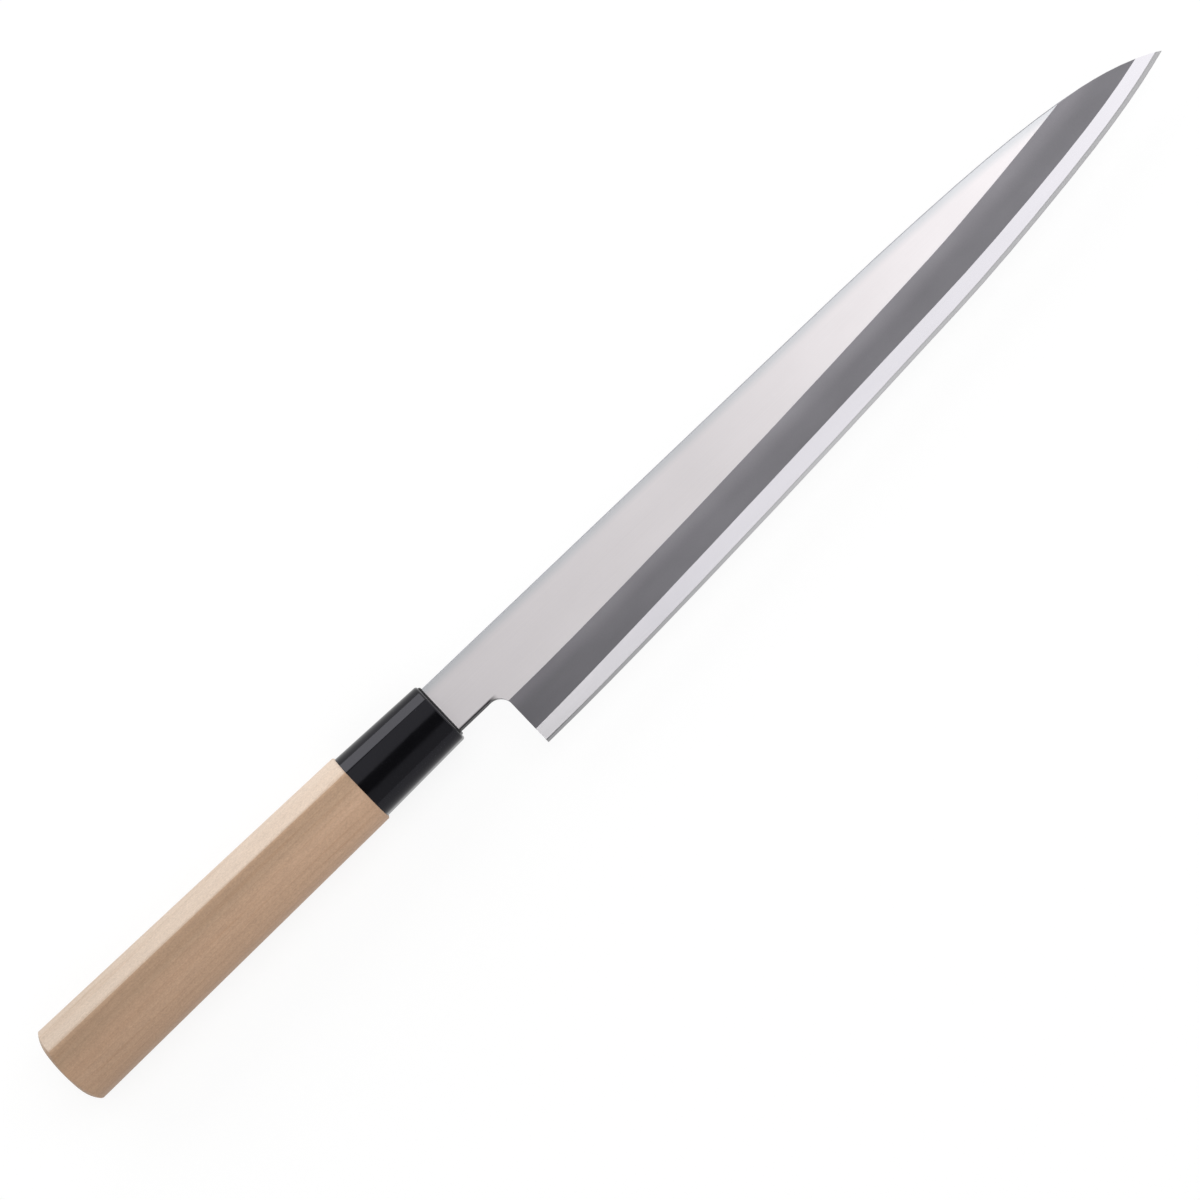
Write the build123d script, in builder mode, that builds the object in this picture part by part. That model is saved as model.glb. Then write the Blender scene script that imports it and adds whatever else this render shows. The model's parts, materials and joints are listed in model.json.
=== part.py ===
"""A yanagiba: the long, single-bevel slicing knife, lying on its back face.

The butt points to -X and the tip to +X. The spine is towards +Y, the cutting edge
towards -Y, and the bevelled face looks up. The origin is under the middle of the
knife, on the surface that it lies on. All sizes are in millimetres.

Places along the knife are distances ahead of the mouth, where the blade goes into the
ferrule. Heights are above the handle's axis, towards the spine. Depths are above the
same axis, towards the bevelled face.
"""

import os
from math import cos, radians, sin, sqrt, tan

from build123d import *

os.makedirs("parts", exist_ok=True)

# Blade outline
blade_length = 240.0
heel_height = 32.8
neck_length = 15.0
neck_height = 14.9
neck_depth = 2.0
choil_radius = 4.2
spine_tip_lean = 32.0
edge_tip_lean = 17.0

# Points of the outline: reach as a share of the blade's length from the heel, then
# drop below the spine line as a share of the heel's height
spine_shares = ((0.56, 0), (0.7, 0.018), (0.82, 0.066), (0.91, 0.155), (0.965, 0.262))
edge_shares = (
    (0.12, 0.98),
    (0.36, 0.8965),
    (0.6, 0.787),
    (0.76, 0.687),
    (0.87, 0.5805),
    (0.95, 0.474),
)
tip_drop_share = 0.38

# Grinding of the blade
blade_thickness = 3.2
tip_thinning = 1.1
thinning_start = 2.0
spine_easing = 0.3
bevel_width = 14.7
edge_facet_heel = 0.9
edge_facet_tip = 1.3
edge_facet_rise = 0.35
hollow_radius = 240.0
hollow_edge_rim = 1.6
hollow_spine_rim = 1.2

# Stations of the bevel along the edge, as shares of its length
bevel_shares = (0, 0.12, 0.28, 0.44, 0.6, 0.74, 0.86, 0.94, 1)

# The hollow: station along the edge, and how much of the free width it takes there
hollow_shares = (
    (0.02, 0.3),
    (0.045, 0.72),
    (0.09, 0.95),
    (0.2, 1),
    (0.4, 1),
    (0.6, 1),
    (0.76, 1),
    (0.88, 1),
    (0.96, 1),
)

# Steel layer of the blade: station along the blade, and thickness there
steel_thickness = 1.17
steel_shares = ((0, 0.95), (0.25, 1), (0.52, 0.92), (0.77, 0.78), (1, 0.7))
steel_lap = 5.0
steel_scarf = 3.0

# Tang
tang_shoulder = 2.5
tang_end_height = 5.0
tang_end_thickness = 2.2
tang_round_share = 0.4

# Ferrule
ferrule_length = 28.5
ferrule_taper = 1.6
ferrule_wall = 2.0
ferrule_front_wall = 4.0
ferrule_mouth_wall = 1.3
ferrule_rim_radius = 0.8

# Wood of the handle
wood_length = 107.5
wood_taper = 0.75
wood_step = 0.65
wood_front_easing = 0.35
tenon_gap = 0.1
wood_past_bore = 41.0
bore_end_room = 3.0
bedding_gap = 0.6
dome_crown_drop = 0.55
dome_rim_drop = 5.1
dome_crown_share = 0.62
dome_rim_share = 1.15

# Section of the handle where the ferrule meets the wood
handle_width = 16.3
back_flat_width = 8.4
shoulder_radius = 7.8
facet_width = 3.45
facet_lean = 36.0
ridge_radius = 1.2
hip_radius = 6.5
hip_lean = 17.5

# Seal of the neck
seal_gap = 0.4
bead_lap = 0.3
bead_height = 0.5
bead_radius = 0.6
bead_easing_share = 0.5

# One length by which every cut runs past what it cuts
overrun = 3.0

# A wall whose outward normal rises by more than this share belongs to the spine
spine_wall_share = 0.5

# Sizes that follow: the neck sets the ferrule, and the ferrule sets the wood
spine_height = neck_height / 2
edge_height = spine_height - heel_height
slot_height = neck_height + 2 * seal_gap
slot_width = blade_thickness + 2 * seal_gap
ferrule_draw = ferrule_length * tan(radians(ferrule_taper))
handle_height = slot_height + 2 * (ferrule_mouth_wall + ferrule_draw)
butt_growth = wood_step + wood_length * tan(radians(wood_taper))
butt_height = handle_height + 2 * butt_growth
butt_width = handle_width + 2 * butt_growth

# Places that follow
tip_reach = neck_length + blade_length
butt_reach = -(wood_length + ferrule_length)
bore_end_reach = butt_reach + wood_past_bore
tang_end_reach = bore_end_reach + bore_end_room
back = -blade_thickness / 2
face = blade_thickness / 2
mouth_x = -(tip_reach + butt_reach) / 2
axis_y = -(butt_height / 2 + edge_height) / 2
axis_z = butt_width / 2
mouth = Vector(mouth_x, axis_y, axis_z)

# Planes through the mouth, on the handle's axis
side_view = Plane(mouth)
top_view = Plane(mouth, x_dir=(1, 0, 0), z_dir=(0, -1, 0))
end_view = Plane(mouth, x_dir=(0, 1, 0), z_dir=(1, 0, 0))


def across(reach):
    """The plane square to the knife, at one distance ahead of the mouth."""
    return end_view.offset(reach)


def between(rear, front, share):
    """The size that lies a share of the way from a rear size to a front size."""
    return rear + (front - rear) * share


def blade_point(reach_share, drop_share):
    """A point of the blade's side view, from its two shares."""
    return (
        neck_length + blade_length * reach_share,
        spine_height - heel_height * drop_share,
    )


def face_depth(reach):
    """Depth of the upper flat, which comes down evenly from the neck to the tip."""
    return face - tip_thinning * (reach - thinning_start) / (tip_reach - thinning_start)


# The two curves of the blade's side view
tip = blade_point(1, tip_drop_share)
spine_curve = Spline(
    *[blade_point(*shares) for shares in spine_shares],
    tip,
    tangents=((1, 0), (1, -tan(radians(spine_tip_lean)))),
)
edge_curve = Spline(
    blade_point(0, 1),
    *[blade_point(*shares) for shares in edge_shares],
    tip,
    tangents=((1, 0), (1, tan(radians(edge_tip_lean)))),
)


def spine_height_at(reach):
    """Height of the spine at one distance ahead of the mouth."""
    if reach <= (spine_curve @ 0).X:
        return spine_height
    crossings = spine_curve.find_intersection_points(Axis((reach, 0), (0, 1)))
    return crossings[0].Y


def bevel_section(station, edge_facet):
    """Section of what the bevel and the small edge facet take off, at one station."""
    shinogi_depth = face_depth(station.X)
    facet_top = back + edge_facet_rise
    bevel_run = (bevel_width - edge_facet) / (shinogi_depth - facet_top)
    facet_run = edge_facet / edge_facet_rise
    below = edge_height - heel_height
    with BuildSketch(across(station.X)) as section:
        with BuildLine():
            Polyline(
                (station.Y + bevel_width + bevel_run * overrun, shinogi_depth + overrun),
                (station.Y + edge_facet, facet_top),
                (station.Y - facet_run * overrun, back - overrun),
                (below, back - overrun),
                (below, shinogi_depth + overrun),
                close=True,
            )
        make_face()
    return section.sketch


def hollow_section(station, width_share):
    """Section of the hollow in the blade's back: a slice of one large wheel."""
    low = station.Y + hollow_edge_rim
    high = spine_height_at(station.X) - hollow_spine_rim
    middle = (low + high) / 2
    half = (high - low) / 2 * width_share
    peak = back + hollow_radius - sqrt(hollow_radius**2 - half**2)
    reach = half + hollow_spine_rim
    ends = peak - hollow_radius + sqrt(hollow_radius**2 - reach**2)
    with BuildSketch(across(station.X)) as section:
        with BuildLine():
            ThreePointArc((middle - reach, ends), (middle, peak), (middle + reach, ends))
            Polyline(
                (middle + reach, ends),
                (middle + reach, back - overrun),
                (middle - reach, back - overrun),
                (middle - reach, ends),
            )
        make_face()
    return section.sketch


def tang_section(reach, height, thickness):
    """Plain rectangular section of the tang or of its bore."""
    with BuildSketch(across(reach)) as section:
        Rectangle(height, thickness)
    return section.sketch


# Blade as ground: outline, thinning, eased spine, bevel with its edge facet, hollow
edge_stations = [edge_curve @ share for share in bevel_shares]
edge_facets = [between(edge_facet_heel, edge_facet_tip, share) for share in bevel_shares]
run_in = edge_stations[0] - (edge_curve % 0) * 2 * overrun
run_out = edge_stations[-1] + (edge_curve % 1) * 2 * overrun

with BuildPart() as ground_blade:
    with BuildSketch(side_view.offset(back)):
        with BuildLine():
            Line((-neck_depth, spine_height), spine_curve @ 0)
            add(spine_curve)
            past_tip = spine_curve @ 1 + (spine_curve % 1) * overrun
            Polyline(
                tip,
                past_tip,
                (past_tip.X, edge_height - overrun),
                (neck_length, edge_height - overrun),
                (neck_length, spine_height - neck_height),
                (-neck_depth, spine_height - neck_height),
                (-neck_depth, spine_height),
            )
        make_face()
        choil = (neck_length, spine_height - neck_height)
        fillet(vertices().sort_by_distance(choil)[0], choil_radius)
    extrude(amount=blade_thickness)

    with BuildSketch(top_view):
        with BuildLine():
            Polyline(
                (thinning_start, face),
                (tip_reach + overrun, face_depth(tip_reach + overrun)),
                (tip_reach + overrun, face + overrun),
                (thinning_start, face + overrun),
                close=True,
            )
        make_face()
    extrude(amount=2 * heel_height, both=True, mode=Mode.SUBTRACT)

    spine_walls = faces().filter_by(lambda wall: wall.normal_at().Y > spine_wall_share)
    spine_edges = spine_walls.edges().filter_by(Axis.Z, reverse=True)
    chamfer(
        spine_edges.filter_by_position(Axis.Z, axis_z, axis_z + blade_thickness),
        spine_easing,
    )

    loft(
        sections=[
            bevel_section(run_in, edge_facets[0]),
            *[bevel_section(*pair) for pair in zip(edge_stations, edge_facets)],
            bevel_section(run_out, edge_facets[-1]),
        ],
        mode=Mode.SUBTRACT,
    )
    loft(
        sections=[hollow_section(edge_curve @ along, wide) for along, wide in hollow_shares],
        mode=Mode.SUBTRACT,
    )

# Zone of the steel layer: under a shallow curve, with a slanting rear end
with BuildPart() as steel_zone:
    with BuildSketch(top_view):
        with BuildLine():
            steel_start = neck_length - steel_lap
            weld = Spline(
                *[
                    (
                        between(steel_start + steel_scarf, tip_reach + overrun, along),
                        back + steel_thickness * thick,
                    )
                    for along, thick in steel_shares
                ]
            )
            Polyline(
                weld @ 1,
                (tip_reach + overrun, back - overrun),
                (steel_start, back - overrun),
                (steel_start, back),
                weld @ 0,
            )
        make_face()
    extrude(amount=2 * heel_height, both=True)

with BuildPart() as edge_steel:
    add(ground_blade.part)
    add(steel_zone.part, mode=Mode.INTERSECT)

with BuildPart() as blade_iron:
    add(ground_blade.part)
    add(steel_zone.part, mode=Mode.SUBTRACT)
    loft(
        sections=[
            tang_section(-neck_depth, neck_height - 2 * tang_shoulder, blade_thickness),
            tang_section(tang_end_reach, tang_end_height, tang_end_thickness),
        ],
        ruled=True,
    )
    tang_end = faces().sort_by(Axis.X)[0]
    fillet(tang_end.edges().filter_by(Axis.Z), tang_end_height * tang_round_share)

# Bore of the wood for the tang, open at the tenon's end
with BuildPart() as tang_bore:
    loft(
        sections=[
            tang_section(
                -ferrule_front_wall,
                neck_height - 2 * tang_shoulder + 2 * bedding_gap,
                blade_thickness + 2 * bedding_gap,
            ),
            tang_section(
                bore_end_reach,
                tang_end_height + 2 * bedding_gap,
                tang_end_thickness + 2 * bedding_gap,
            ),
        ],
        ruled=True,
    )

# Chestnut section of the handle: a flat back, a facet on the spine side that ends in a
# soft ridge, and a gently crowned side from the ridge to the hip
top = handle_height / 2
side = handle_width / 2
flat = back_flat_width / 2
facet_rise = facet_width * sin(radians(facet_lean))
waist = side - facet_rise - shoulder_radius * cos(radians(facet_lean))
with BuildSketch() as handle_outline:
    with BuildLine():
        spine_back = JernArc((flat, -side), (1, 0), top - flat, 90)
        spine_wall = Line(spine_back @ 1, (top, waist))
        shoulder = JernArc(spine_wall @ 1, (0, 1), shoulder_radius, 90 - facet_lean)
        facet = Line(shoulder @ 1, shoulder @ 1 + (shoulder % 1) * facet_width)
        edge_back = JernArc((-flat, -side), (-1, 0), top - flat, -90)
        edge_wall = Line(edge_back @ 1, (-top, waist))
        hip = JernArc(edge_wall @ 1, (0, 1), hip_radius, hip_lean - 90)
        TangentArc(hip @ 1, facet @ 1, tangent=hip % 1)
        Line((-flat, -side), (flat, -side))
    make_face()
    fillet(vertices().sort_by_distance(facet @ 1)[0], ridge_radius)

# Ferrule: tapered collar with a rounded front rim, a rear socket and the neck's slot
socket_depth = ferrule_length - ferrule_front_wall
with BuildPart() as ferrule:
    with BuildSketch(across(-ferrule_length)):
        add(handle_outline.sketch_local)
    extrude(amount=ferrule_length, taper=ferrule_taper)
    fillet(faces().sort_by(Axis.X)[-1].edges(), ferrule_rim_radius)
    with BuildSketch(across(-ferrule_length)):
        add(handle_outline.sketch_local)
        offset(amount=-ferrule_wall)
    extrude(amount=socket_depth, taper=ferrule_taper, mode=Mode.SUBTRACT)
    with BuildSketch(across(0)):
        Rectangle(slot_height, slot_width)
    extrude(amount=-ferrule_front_wall - overrun, mode=Mode.SUBTRACT)

# Wood: tapered grip with a domed butt, an eased front rim, a tenon and the bore
with BuildPart() as wood_handle:
    with BuildSketch(across(butt_reach)):
        add(handle_outline.sketch_local)
        offset(amount=butt_growth)
    extrude(amount=wood_length, taper=wood_taper)
    chamfer(faces().sort_by(Axis.X)[-1].edges(), wood_front_easing)
    with BuildSketch(top_view):
        with BuildLine():
            half = butt_height / 2
            crown_end = (butt_reach + dome_crown_drop, half * dome_crown_share)
            rim_end = (butt_reach + dome_rim_drop, half * dome_rim_share)
            crown = TangentArc((butt_reach, 0), crown_end, tangent=(0, 1))
            TangentArc(crown_end, rim_end, tangent=crown % 1)
            Polyline(
                rim_end,
                (butt_reach + dome_rim_drop, butt_height),
                (butt_reach - overrun, butt_height),
                (butt_reach - overrun, 0),
                (butt_reach, 0),
            )
        make_face()
    revolve(axis=Axis(mouth, (1, 0, 0)), mode=Mode.SUBTRACT)
    with BuildSketch(across(-ferrule_length)):
        add(handle_outline.sketch_local)
        offset(amount=-ferrule_wall - tenon_gap)
    extrude(amount=socket_depth, taper=ferrule_taper)
    add(tang_bore.part, mode=Mode.SUBTRACT)

# Seal: fills the ferrule's slot round the neck and stands out of it as a small bead
with BuildPart() as neck_seal:
    with BuildSketch(across(0)):
        Rectangle(slot_height, slot_width)
    extrude(amount=-ferrule_front_wall)
    with BuildSketch(across(0)):
        RectangleRounded(slot_height + 2 * bead_lap, slot_width + 2 * bead_lap, bead_radius)
    extrude(amount=bead_height)
    chamfer(faces().sort_by(Axis.X)[-1].edges(), bead_height * bead_easing_share)
    add(blade_iron.part, mode=Mode.SUBTRACT)

# Bedding: fills the bore of the wood round the tang
with BuildPart() as tang_bedding:
    add(tang_bore.part)
    add(blade_iron.part, mode=Mode.SUBTRACT)

pieces = {
    "blade_iron": blade_iron,
    "edge_steel": edge_steel,
    "ferrule": ferrule,
    "wood_handle": wood_handle,
    "neck_seal": neck_seal,
    "tang_bedding": tang_bedding,
}
for name, piece in pieces.items():
    piece.part.label = name
    export_step(piece.part, f"parts/{name}.step")
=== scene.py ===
"""The looks of the yanagiba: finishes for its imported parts, a white sweep, soft light, camera.

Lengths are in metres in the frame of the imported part: butt to -X, tip to +X, spine to +Y,
cutting edge to -Y, bevelled face up.
"""

import json
from math import cos, pi, radians, sin, tan

import bpy
from mathutils import Matrix, Vector

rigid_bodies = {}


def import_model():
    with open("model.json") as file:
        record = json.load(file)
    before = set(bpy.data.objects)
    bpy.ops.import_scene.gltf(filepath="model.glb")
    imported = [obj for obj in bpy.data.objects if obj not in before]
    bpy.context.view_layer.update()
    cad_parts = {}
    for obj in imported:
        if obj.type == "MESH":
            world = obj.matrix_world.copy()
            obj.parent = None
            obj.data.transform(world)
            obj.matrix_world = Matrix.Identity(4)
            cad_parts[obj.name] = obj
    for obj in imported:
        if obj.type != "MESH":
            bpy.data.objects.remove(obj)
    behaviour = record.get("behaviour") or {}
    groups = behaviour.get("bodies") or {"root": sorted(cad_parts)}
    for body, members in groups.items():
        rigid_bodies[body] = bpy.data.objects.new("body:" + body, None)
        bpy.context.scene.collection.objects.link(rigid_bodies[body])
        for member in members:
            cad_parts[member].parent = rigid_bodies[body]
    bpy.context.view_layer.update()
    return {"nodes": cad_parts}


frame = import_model()

mm = 0.001

# Camera: nearly straight above, leaning a little to the edge side, tip to the upper right
camera_lens = 190.0
camera_distance = 1.649
camera_lean = 9.5
camera_roll = 43.65
camera_aim = Vector((-9.3, -1.14, 10.0)) * mm

# Sweep: a flat floor that curves up into a wall all round
sweep_radius = 4.5
sweep_bend = 1.2
sweep_height = 2.6
sweep_sides = 96
sweep_bend_rings = 12

# The sweep's white for the light it throws and as it is seen, the glow it is seen with near
# the knife and far off, and the distances from the middle between which that glow grows
floor_white = 0.8
floor_seen_white = 0.15
floor_glow_near = 0.855
floor_glow_far = 1.0
floor_glow_start = 0.5
floor_glow_end = 1.6

# Surround above the sweep: its brightness, and what it adds to that for diffuse light alone
surround_grey = 0.05
diffuse_fill = 0.4

# Overhead lamp: its height, its two ends along X, its two sides as degrees from straight up
overhead_height = 2.4
overhead_ends = (-0.25, 2.3)
overhead_sides = (-14.7, 30.0)
overhead_level = 1.1

# Long side lamps: lower and upper limit as degrees from straight up towards the spine,
# distance, length along X, level
side_lamps = {
    "spine_side": (52.6, 87.4, 1.6, 2.2, 2.6),
    "edge_side": (-60.0, -21.8, 2.2, 2.6, 0.57),
}

# Square lamps beyond the two ends of the knife: their places
end_lamps = {
    "butt_end": (-1.7, 0.0, 1.3),
    "tip_end": (1.9, 0.0, 1.1),
}
end_lamp_size = 1.4
end_lamp_level = 1.0

# Places on the knife that the finishes and their painted light and shade follow
heel_x = -44.5 * mm
tip_x = 195.5 * mm
flat_even_x = 35.5 * mm
flat_bright_x = 145.5 * mm
bevel_even_x = 10.0 * mm
strip_even_x = 0.0 * mm
strip_bright_x = 100.0 * mm
facet_bright_x = 55.0 * mm
heel_line_end_x = -25.0 * mm
neck_under_y = -0.8 * mm
facet_low_z = 8.61 * mm
facet_high_z = 8.955 * mm
wood_front_x = -94.5 * mm
wood_rear_x = -185.0 * mm
spine_y = 14.1 * mm
spine_bend_x = 90.0 * mm
spine_bend_run = 105.5 * mm
spine_bend_drops = ((2, 6.0 * mm), (6, 5.9 * mm))

# The upper flat comes down towards the tip by this much for each length along X
thinning_slope = 1.1 / 253

# Heights on the bevel, evened out for that slope, between which a painted highlight comes in
# towards the ridge
bevel_low_z = 10.7 * mm
bevel_high_z = 11.5 * mm

# Distances below the spine where the painted shade on the upper flat starts and where it is full
grey_start = 3.2 * mm
grey_full = 0.3 * mm

# Painted shade on the rim under the neck: start and full depth behind the heel and above the
# neck's underside
neck_dark_start = 1.0 * mm
neck_dark_full = 4.0 * mm
rim_dark_start = 0.75 * mm
rim_dark_full = 0.25 * mm

# Edge facet: height of the painted shade along the cutting edge, start and full depth of the
# painted dark line at its top
keen_height = 0.09 * mm
facet_line_start = 0.12 * mm
facet_line_full = 0.04 * mm

# Growth rings: their middle lies outside the handle, past its edge side and below the floor
ring_middle_y = -34.0 * mm
ring_middle_z = -21.0 * mm
ring_width = 1.9 * mm
ring_waver = 5.0 * mm

# Y at which each painted light on the handle's crown starts and is full. The ridge lies at 10.4
# mm, so little more than the start of the first one falls on the crown
ridge_painted_light_y = (9.5 * mm, 16.5 * mm)
low_painted_light_y = (7.5 * mm, 3.5 * mm)


class Finish:
    """A node material around one Principled shader, with short calls for its nodes."""

    def __init__(self, name, constants):
        self.material = bpy.data.materials.new(name)
        self.material.use_nodes = True
        self.nodes = self.material.node_tree.nodes
        self.links = self.material.node_tree.links
        self.shader = self.nodes["Principled BSDF"]
        self.objects = self.nodes.new("ShaderNodeTexCoord").outputs["Object"]
        for socket, value in constants.items():
            self.shader.inputs[socket].default_value = value

    def feed(self, socket, value):
        """Gives one input a number, a colour or the output of another node."""
        if isinstance(value, bpy.types.NodeSocket):
            self.links.new(value, socket)
        else:
            socket.default_value = value

    def surface(self, name, value):
        """Feeds one input of the Principled shader."""
        self.feed(self.shader.inputs[name], value)

    def maths(self, operation, first, second=0.0, third=0.0):
        """One step of arithmetic."""
        node = self.nodes.new("ShaderNodeMath")
        node.operation = operation
        for socket, value in zip(node.inputs, (first, second, third)):
            self.feed(socket, value)
        return node.outputs[0]

    def rise(self, value, low, high, course="SMOOTHSTEP"):
        """Goes from 0 to 1 as the value goes from low to high, smoothly or evenly."""
        node = self.nodes.new("ShaderNodeMapRange")
        node.interpolation_type = course
        self.feed(node.inputs["Value"], value)
        self.feed(node.inputs["From Min"], low)
        self.feed(node.inputs["From Max"], high)
        return node.outputs["Result"]

    def between(self, share, low, high):
        """A number that goes from low to high with the share."""
        node = self.nodes.new("ShaderNodeMix")
        node.data_type = "FLOAT"
        self.feed(node.inputs[0], share)
        self.feed(node.inputs[2], low)
        self.feed(node.inputs[3], high)
        return node.outputs[0]

    def paint(self, share, low, high):
        """A colour that goes from low to high with the share."""
        node = self.nodes.new("ShaderNodeMix")
        node.data_type = "RGBA"
        self.feed(node.inputs[0], share)
        for socket, value in zip((node.inputs[6], node.inputs[7]), (low, high)):
            self.feed(socket, (*value, 1.0) if isinstance(value, tuple) else value)
        return node.outputs[2]

    def tint(self, colour, strength):
        """The colour, made lighter or darker by a number that varies."""
        node = self.nodes.new("ShaderNodeVectorMath")
        node.operation = "SCALE"
        self.feed(node.inputs[0], colour)
        self.feed(node.inputs["Scale"], strength)
        return node.outputs[0]

    def coloured(self, colour, cast):
        """The colour, with its red, green and blue each made lighter or darker."""
        node = self.nodes.new("ShaderNodeVectorMath")
        node.operation = "MULTIPLY"
        self.feed(node.inputs[0], colour)
        self.feed(node.inputs[1], cast)
        return node.outputs[0]

    def parts(self, vector):
        """The X, Y and Z of a vector."""
        node = self.nodes.new("ShaderNodeSeparateXYZ")
        self.feed(node.inputs[0], vector)
        return node.outputs

    def facing(self):
        """The X, Y and Z of the outward direction of the surface."""
        return self.parts(self.nodes.new("ShaderNodeNewGeometry").outputs["True Normal"])

    def noise(self, size, detail, roughness, turn=0.0):
        """Noise from about 0 to 1, with its grain size along X, Y and Z, turned about Z."""
        place = self.nodes.new("ShaderNodeMapping")
        self.feed(place.inputs["Vector"], self.objects)
        place.inputs["Rotation"].default_value = (0.0, 0.0, radians(turn))
        place.inputs["Scale"].default_value = [1 / length for length in size]
        node = self.nodes.new("ShaderNodeTexNoise")
        self.feed(node.inputs["Vector"], place.outputs[0])
        node.inputs["Scale"].default_value = 1.0
        node.inputs["Detail"].default_value = detail
        node.inputs["Roughness"].default_value = roughness
        return node.outputs[0]

    def bump(self, height, depth):
        """Raises the surface by the height, from 0 to 1, times the depth."""
        node = self.nodes.new("ShaderNodeBump")
        node.inputs["Distance"].default_value = depth
        self.feed(node.inputs["Height"], height)
        self.surface("Normal", node.outputs[0])


def dress(node, finish):
    """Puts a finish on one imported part."""
    for slot in frame["nodes"][node].material_slots:
        slot.material = finish.material


def below_spine(finish):
    """Distance of a point below the spine, whose front part bends down to the tip."""
    place = finish.parts(finish.objects)
    ahead = finish.maths("SUBTRACT", place["X"], spine_bend_x)
    share = finish.maths("DIVIDE", finish.maths("MAXIMUM", ahead, 0.0), spine_bend_run)
    height = finish.maths("SUBTRACT", spine_y, place["Y"])
    for power, drop in spine_bend_drops:
        bend = finish.maths("MULTIPLY", finish.maths("POWER", share, power), drop)
        height = finish.maths("SUBTRACT", height, bend)
    return height


def iron_finish():
    """Satin upper flat with painted shade towards the spine and painted light towards the tip,
    matt grey bevel with a painted highlight by the ridge and painted light from the heel forward,
    painted shade on the neck's lower rim and underside.
    """
    iron = Finish("satin_iron", {"Metallic": 1.0})
    place = iron.parts(iron.objects)
    normal = iron.facing()
    bevel = iron.rise(normal["Y"], -0.05, -0.09)
    spine = iron.rise(normal["Y"], 0.4, 0.6)
    painted_shade_underside = iron.rise(normal["Y"], -0.75, -0.97)
    brushing = iron.noise((60 * mm, 0.22 * mm, 0.22 * mm), 3.0, 0.6)
    cloud = iron.noise((22 * mm, 9 * mm, 9 * mm), 2.0, 0.5)
    patches = iron.noise((26 * mm, 8 * mm, 8 * mm), 2.0, 0.5, -38.0)
    grit = iron.noise((0.4 * mm, 0.4 * mm, 0.4 * mm), 3.0, 0.65)

    # Painted shade: the upper flat turns darker and bluish grey towards the spine
    painted_shade_by_spine = iron.rise(below_spine(iron), grey_start, grey_full)
    flat = iron.paint(painted_shade_by_spine, (0.785, 0.75, 0.765), (0.63, 0.64, 0.665))
    # Painted light: the upper flat grows lighter towards the tip
    painted_light_to_tip = iron.rise(place["X"], flat_even_x, flat_bright_x, "LINEAR")
    flat = iron.tint(flat, iron.between(painted_light_to_tip, 1.0, 1.27))
    flat = iron.tint(flat, iron.between(brushing, 0.96, 1.04))
    flat = iron.tint(flat, iron.between(cloud, 0.96, 1.04))

    level = iron.maths("MULTIPLY_ADD", place["X"], thinning_slope, place["Z"])
    # Painted highlight: the bevel is lighter towards the ridge
    painted_highlight_by_ridge = iron.rise(level, bevel_low_z, bevel_high_z)
    matt = iron.paint(painted_highlight_by_ridge, (0.26, 0.254, 0.274), (0.335, 0.323, 0.35))
    # Painted light: the bevel grows lighter from the heel forward
    painted_light_past_heel = iron.rise(place["X"], heel_x, bevel_even_x, "LINEAR")
    matt = iron.tint(matt, iron.between(painted_light_past_heel, 0.85, 1.13))
    matt = iron.tint(matt, iron.between(patches, 0.84, 1.16))
    matt = iron.tint(matt, iron.between(grit, 0.9, 1.1))

    colour = iron.paint(bevel, flat, matt)
    colour = iron.paint(spine, colour, (0.30, 0.30, 0.32))
    # Painted shade: a dark rim along the neck's lower edge, and the underside almost black
    on_neck = iron.rise(place["X"], heel_x - neck_dark_start, heel_x - neck_dark_full)
    painted_shade_low_rim = iron.rise(place["Y"], neck_under_y + rim_dark_start, neck_under_y + rim_dark_full)
    colour = iron.paint(iron.maths("MULTIPLY", on_neck, painted_shade_low_rim), colour, (0.05, 0.048, 0.05))
    colour = iron.paint(painted_shade_underside, colour, (0.02, 0.019, 0.02))
    iron.surface("Base Color", colour)

    satin = iron.between(brushing, 0.30, 0.38)
    iron.surface("Roughness", iron.between(bevel, satin, iron.between(grit, 0.44, 0.58)))
    relief = iron.between(bevel, brushing, grit)
    iron.bump(relief, 0.0025 * mm)
    return iron


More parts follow.
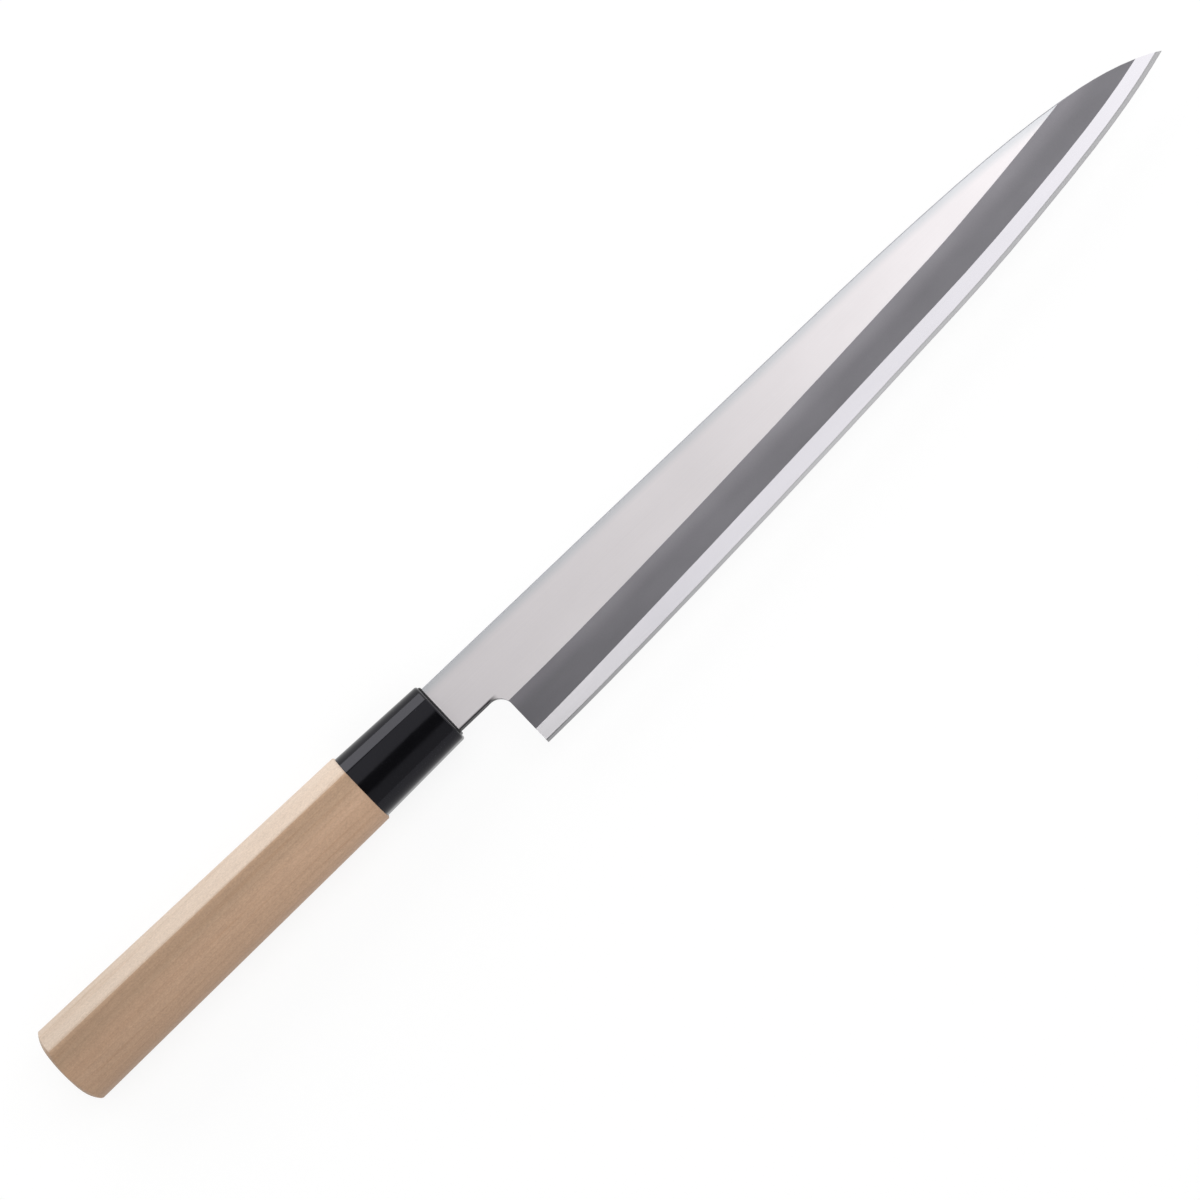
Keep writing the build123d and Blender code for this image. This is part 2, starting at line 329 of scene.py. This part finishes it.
def steel_finish():
    """Bright polished edge strip with painted light by the heel and the tip, finely ground edge
    facet with painted light from the heel forward and painted shade at its foot and top, satin
    hollow back.
    """
    steel = Finish("polished_steel", {"Metallic": 1.0})
    normal = steel.facing()
    back = steel.rise(normal["Z"], 0.1, -0.1)
    facet = steel.rise(normal["Y"], -0.205, -0.225)
    scratches = steel.noise((14 * mm, 0.12 * mm, 0.12 * mm), 3.0, 0.65)
    cloud = steel.noise((30 * mm, 3 * mm, 3 * mm), 2.0, 0.5)
    wheel = steel.noise((0.15 * mm, 18 * mm, 18 * mm), 3.0, 0.6)

    place = steel.parts(steel.objects)
    along = place["X"]
    # Painted light: the polished strip is lighter by the heel and towards the tip
    painted_light_by_heel = steel.rise(along, strip_even_x, heel_x, "LINEAR")
    bright = steel.paint(painted_light_by_heel, (0.71, 0.694, 0.736), (0.90, 0.88, 0.91))
    painted_light_by_tip = steel.rise(along, strip_bright_x, tip_x, "LINEAR")
    bright = steel.tint(bright, steel.between(painted_light_by_tip, 1.0, 1.12))
    bright = steel.tint(bright, steel.between(cloud, 0.97, 1.02))
    # Painted light: the edge facet grows lighter from the heel forward
    painted_light_past_heel = steel.rise(along, heel_x, facet_bright_x, "LINEAR")
    ground_edge = steel.paint(painted_light_past_heel, (0.50, 0.50, 0.51), (0.92, 0.915, 0.935))
    # Painted shade: a darker band along the cutting edge and a dark line along the facet's top,
    # deepest by the heel
    painted_shade_at_edge = steel.rise(place["Z"], facet_low_z + keen_height, facet_low_z)
    ground_edge = steel.tint(ground_edge, steel.between(painted_shade_at_edge, 1.0, 0.86))
    line_start_z = facet_high_z - facet_line_start
    painted_dark_line = steel.rise(place["Z"], line_start_z, facet_high_z - facet_line_full)
    line_depth = steel.rise(along, heel_line_end_x, heel_x)
    line_shade = steel.between(line_depth, 0.88, 0.4)
    ground_edge = steel.tint(ground_edge, steel.between(painted_dark_line, 1.0, line_shade))
    colour = steel.paint(facet, bright, ground_edge)
    colour = steel.paint(back, colour, (0.78, 0.775, 0.79))
    steel.surface("Base Color", colour)

    polish = steel.between(scratches, 0.12, 0.17)
    ground = steel.between(wheel, 0.22, 0.34)
    rough = steel.between(facet, polish, 0.28)
    steel.surface("Roughness", steel.between(back, rough, ground))
    steel.bump(steel.between(back, scratches, wheel), 0.0006 * mm)
    return steel


def ferrule_finish():
    """Deep glossy black with faint handling marks."""
    black = Finish("gloss_black", {
        "Specular IOR Level": 0.245,
        "Specular Tint": (0.88, 0.87, 1.0, 1.0),
    })
    smears = black.noise((9 * mm, 4 * mm, 4 * mm), 3.0, 0.6)
    hairlines = black.noise((7 * mm, 0.08 * mm, 0.08 * mm), 2.0, 0.7)
    colour = black.paint(smears, (0.0028, 0.0028, 0.0034), (0.0045, 0.0045, 0.0055))
    black.surface("Base Color", colour)
    haze = black.between(smears, 0.05, 0.09)
    marks = black.maths("MULTIPLY", black.rise(hairlines, 0.62, 0.75), 0.05)
    black.surface("Roughness", black.maths("ADD", haze, marks))
    black.bump(black.noise((6 * mm, 2.5 * mm, 2.5 * mm), 1.0, 0.5), 0.004 * mm)
    return black


def wood_finish():
    """Pale wood: long growth rings, thin brown streaks, mottling, pores and end grain, lighter at
    the front than towards the butt, with painted light on the spine-side facet and the crown.
    """
    wood = Finish("pale_wood", {"Specular IOR Level": 0.4})
    end = wood.rise(wood.facing()["X"], -0.75, -0.95)
    waver = wood.noise((90 * mm, 11 * mm, 11 * mm), 2.0, 0.5)
    broad = wood.noise((150 * mm, 4.0 * mm, 4.0 * mm), 2.0, 0.5)
    streaks = wood.noise((75 * mm, 0.8 * mm, 0.8 * mm), 3.0, 0.6)
    mottle = wood.noise((5.0 * mm, 1.5 * mm, 1.5 * mm), 3.0, 0.6)
    pores = wood.noise((1.8 * mm, 0.22 * mm, 0.22 * mm), 2.0, 0.6)
    speckle = wood.noise((0.6 * mm, 0.4 * mm, 0.4 * mm), 3.0, 0.7)

    place = wood.parts(wood.objects)
    side = wood.maths("SUBTRACT", place["Y"], ring_middle_y)
    depth = wood.maths("SUBTRACT", place["Z"], ring_middle_z)
    squares = wood.maths("ADD", wood.maths("POWER", side, 2.0), wood.maths("POWER", depth, 2.0))
    wander = wood.maths("MULTIPLY", waver, ring_waver)
    radius = wood.maths("ADD", wood.maths("SQRT", squares), wander)
    year = wood.maths("FRACT", wood.maths("DIVIDE", radius, ring_width))
    late = wood.maths("POWER", year, 4.0)

    colour = wood.paint(broad, (0.425, 0.277, 0.182), (0.495, 0.345, 0.243))
    colour = wood.paint(wood.maths("MULTIPLY", late, 0.22), colour, (0.315, 0.185, 0.108))
    dark = wood.rise(streaks, 0.55, 0.72)
    colour = wood.paint(wood.maths("MULTIPLY", dark, 0.26), colour, (0.35, 0.195, 0.105))
    holes = wood.rise(pores, 0.58, 0.75)
    colour = wood.paint(wood.maths("MULTIPLY", holes, 0.2), colour, (0.315, 0.187, 0.108))
    colour = wood.tint(colour, wood.between(mottle, 0.92, 1.08))
    colour = wood.tint(colour, wood.between(speckle, 0.7, 1.3))
    # Lighter at the front of the handle, darker towards the butt
    towards_butt = wood.rise(place["X"], wood_front_x, wood_rear_x, "LINEAR")
    front_to_butt_cast = wood.paint(towards_butt, (1.04, 1.026, 0.988), (0.853, 0.829, 0.78))
    colour = wood.coloured(colour, front_to_butt_cast)
    # Painted light: the facet on the spine side lighter and whiter, the crown lighter by the
    # ridge and on its lower side
    facet = wood.rise(wood.facing()["Y"], 0.15, 0.42)
    painted_light_by_ridge = wood.rise(place["Y"], *ridge_painted_light_y)
    crown_painted_light = wood.paint(painted_light_by_ridge, colour, wood.coloured(colour, (1.85, 2.02, 2.25)))
    painted_light_low_side = wood.rise(place["Y"], *low_painted_light_y)
    crown_painted_light = wood.paint(painted_light_low_side, crown_painted_light, wood.coloured(colour, (1.16, 1.145, 1.165)))
    colour = wood.paint(facet, crown_painted_light, wood.coloured(colour, (1.38, 1.68, 2.08)))
    colour = wood.paint(wood.maths("MULTIPLY", end, 0.45), colour, (0.30, 0.185, 0.105))
    wood.surface("Base Color", colour)
    wood.surface("Roughness", wood.between(mottle, 0.48, 0.66))
    wood.bump(wood.between(0.5, pores, streaks), 0.03 * mm)
    return wood


def resin_finish(name, dark, light):
    """Hard resin with a slightly uneven surface."""
    resin = Finish(name, {"Specular IOR Level": 0.4})
    lumps = resin.noise((1.2 * mm, 1.2 * mm, 1.2 * mm), 3.0, 0.6)
    resin.surface("Base Color", resin.paint(lumps, dark, light))
    resin.surface("Roughness", resin.between(lumps, 0.28, 0.5))
    resin.bump(lumps, 0.03 * mm)
    return resin


def sweep_material():
    """White sweep: it lights the knife as plain white, and shows as white behind it."""
    sweep = Finish("white_sweep", {})
    sweep.nodes.remove(sweep.shader)
    path = sweep.nodes.new("ShaderNodeLightPath")
    seen = sweep.maths("MAXIMUM", path.outputs["Is Camera Ray"], path.outputs["Is Glossy Ray"])
    seen = sweep.maths("MAXIMUM", seen, path.outputs["Is Transmission Ray"])
    length = sweep.nodes.new("ShaderNodeVectorMath")
    length.operation = "LENGTH"
    sweep.feed(length.inputs[0], sweep.objects)
    away = sweep.rise(length.outputs["Value"], floor_glow_start, floor_glow_end)
    glow = sweep.nodes.new("ShaderNodeEmission")
    strength = sweep.between(away, floor_glow_near, floor_glow_far)
    sweep.feed(glow.inputs["Strength"], sweep.maths("MULTIPLY", strength, seen))
    cover = sweep.nodes.new("ShaderNodeBsdfDiffuse")
    white = sweep.between(seen, floor_white, floor_seen_white)
    sweep.feed(cover.inputs["Color"], white)
    both = sweep.nodes.new("ShaderNodeAddShader")
    sweep.feed(both.inputs[0], glow.outputs[0])
    sweep.feed(both.inputs[1], cover.outputs[0])
    sweep.feed(sweep.nodes["Material Output"].inputs["Surface"], both.outputs[0])
    return sweep.material


def sweep_profile():
    """Radius and height of each ring of the sweep, from the floor up the wall."""
    flat = sweep_radius - sweep_bend
    rings = [(flat / 2, 0.0)]
    for step in range(sweep_bend_rings + 1):
        angle = radians(90 * step / sweep_bend_rings)
        rings.append((flat + sweep_bend * sin(angle), sweep_bend * (1 - cos(angle))))
    rings.append((sweep_radius, sweep_height))
    return rings


def make_sweep():
    """The floor and the wall round it, as one mesh turned about the middle."""
    points = [(0.0, 0.0, 0.0)]
    faces = []
    for ring, (radius, height) in enumerate(sweep_profile()):
        for side in range(sweep_sides):
            angle = radians(360 * side / sweep_sides)
            points.append((radius * cos(angle), radius * sin(angle), height))
            after = (side + 1) % sweep_sides
            outer = 1 + ring * sweep_sides
            if ring == 0:
                faces.append((0, outer + side, outer + after))
            else:
                inner = outer - sweep_sides
                faces.append((inner + side, outer + side, outer + after, inner + after))
    mesh = bpy.data.meshes.new("sweep")
    mesh.from_pydata(points, [], faces)
    mesh.shade_smooth()
    mesh.materials.append(sweep_material())
    sweep = bpy.data.objects.new("sweep", mesh)
    bpy.context.scene.collection.objects.link(sweep)


def softbox(name, place, back, width, depth, level):
    """A rectangular lamp: back is the way from its face to its rear, level its brightness."""
    lamp = bpy.data.lights.new(name, "AREA")
    lamp.shape = "RECTANGLE"
    lamp.size = width
    lamp.size_y = depth
    lamp.energy = pi * width * depth * level
    box = bpy.data.objects.new(name, lamp)
    upward = back.cross(Vector((1.0, 0.0, 0.0))).normalized()
    turn = Matrix((upward.cross(back), upward, back)).transposed()
    box.matrix_world = Matrix.Translation(place) @ turn.to_4x4()
    box.visible_camera = False
    bpy.context.scene.collection.objects.link(box)


def make_lights():
    """A broad lamp overhead, a bright low one on the spine side, a dim one opposite, two ends."""
    rear, front = overhead_ends
    near, far = [overhead_height * tan(radians(angle)) for angle in overhead_sides]
    place = Vector(((front + rear) / 2, (near + far) / 2, overhead_height))
    straight_up = Vector((0.0, 0.0, 1.0))
    softbox("overhead", place, straight_up, front - rear, far - near, overhead_level)

    for name, (low, high, distance, length, level) in side_lamps.items():
        middle = radians((low + high) / 2)
        back = Vector((0.0, sin(middle), cos(middle)))
        depth = 2 * distance * tan(radians((high - low) / 2))
        softbox(name, back * distance, back, length, depth, level)

    for name, place in end_lamps.items():
        back = Vector(place).normalized()
        softbox(name, Vector(place), back, end_lamp_size, end_lamp_size, end_lamp_level)


def make_surround():
    """A dim grey room round the lamps, which adds even light to diffuse colour alone."""
    world = bpy.data.worlds.new("surround")
    world.use_nodes = True
    nodes = world.node_tree.nodes
    links = world.node_tree.links
    path = nodes.new("ShaderNodeLightPath")
    strength = nodes.new("ShaderNodeMath")
    strength.operation = "MULTIPLY_ADD"
    links.new(path.outputs["Is Diffuse Ray"], strength.inputs[0])
    strength.inputs[1].default_value = diffuse_fill
    strength.inputs[2].default_value = surround_grey
    grey = nodes["Background"]
    grey.inputs["Color"].default_value = (1.0, 1.0, 1.0, 1.0)
    links.new(strength.outputs[0], grey.inputs["Strength"])
    bpy.context.scene.world = world


def make_camera():
    """The camera of the photograph: back is the way from the knife to the lens."""
    lean = radians(camera_lean)
    roll = radians(camera_roll)
    back = Vector((0.0, -sin(lean), cos(lean)))
    along = Vector((1.0, 0.0, 0.0))
    across = back.cross(along)
    right = along * cos(roll) - across * sin(roll)
    upward = along * sin(roll) + across * cos(roll)
    turn = Matrix((right, upward, back)).transposed()
    lens = bpy.data.cameras.new("camera")
    lens.lens = camera_lens
    lens.clip_start = camera_distance / 100
    lens.clip_end = camera_distance * 10
    camera = bpy.data.objects.new("camera", lens)
    place = camera_aim + back * camera_distance
    camera.matrix_world = Matrix.Translation(place) @ turn.to_4x4()
    bpy.context.scene.collection.objects.link(camera)
    bpy.context.scene.camera = camera


dress("blade_iron", iron_finish())
dress("edge_steel", steel_finish())
dress("ferrule", ferrule_finish())
dress("wood_handle", wood_finish())
dress("neck_seal", resin_finish("seal_resin", (0.004, 0.004, 0.005), (0.009, 0.009, 0.011)))
dress("tang_bedding", resin_finish("bedding_resin", (0.07, 0.06, 0.05), (0.12, 0.10, 0.08)))
make_sweep()
make_lights()
make_surround()
make_camera()
bpy.context.scene.view_settings.view_transform = "Standard"
